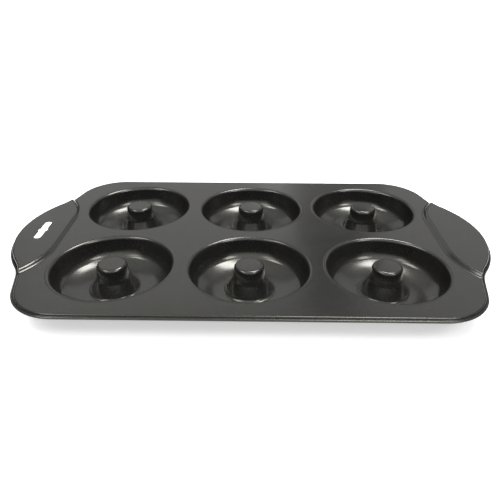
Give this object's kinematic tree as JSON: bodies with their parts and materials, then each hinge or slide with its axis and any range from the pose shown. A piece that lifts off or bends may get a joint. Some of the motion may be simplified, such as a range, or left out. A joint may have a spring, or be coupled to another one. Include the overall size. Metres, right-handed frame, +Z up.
{
  "type": "doughnut pan",
  "caption": "Flat baking pan pressed from one coated steel sheet, with ring cavities round hollow posts, a curled edge and raised end handles, one with a slot.",
  "frame": {"origin": "middle of the pan seen from above, on the surface that the undersides of its cavities rest on", "axes": "+X along the length towards the handle with no slot, +Y across the pan, +Z up out of the cavities"},
  "size_m": [0.3764, 0.2234, 0.0228],
  "materials": {
    "coated_steel": "dark grey non-stick coating, semi-gloss, with a fine light speckle"
  },
  "bodies": {
    "root": {"doughnut_pan": "coated_steel"}
  },
  "joints": []
}
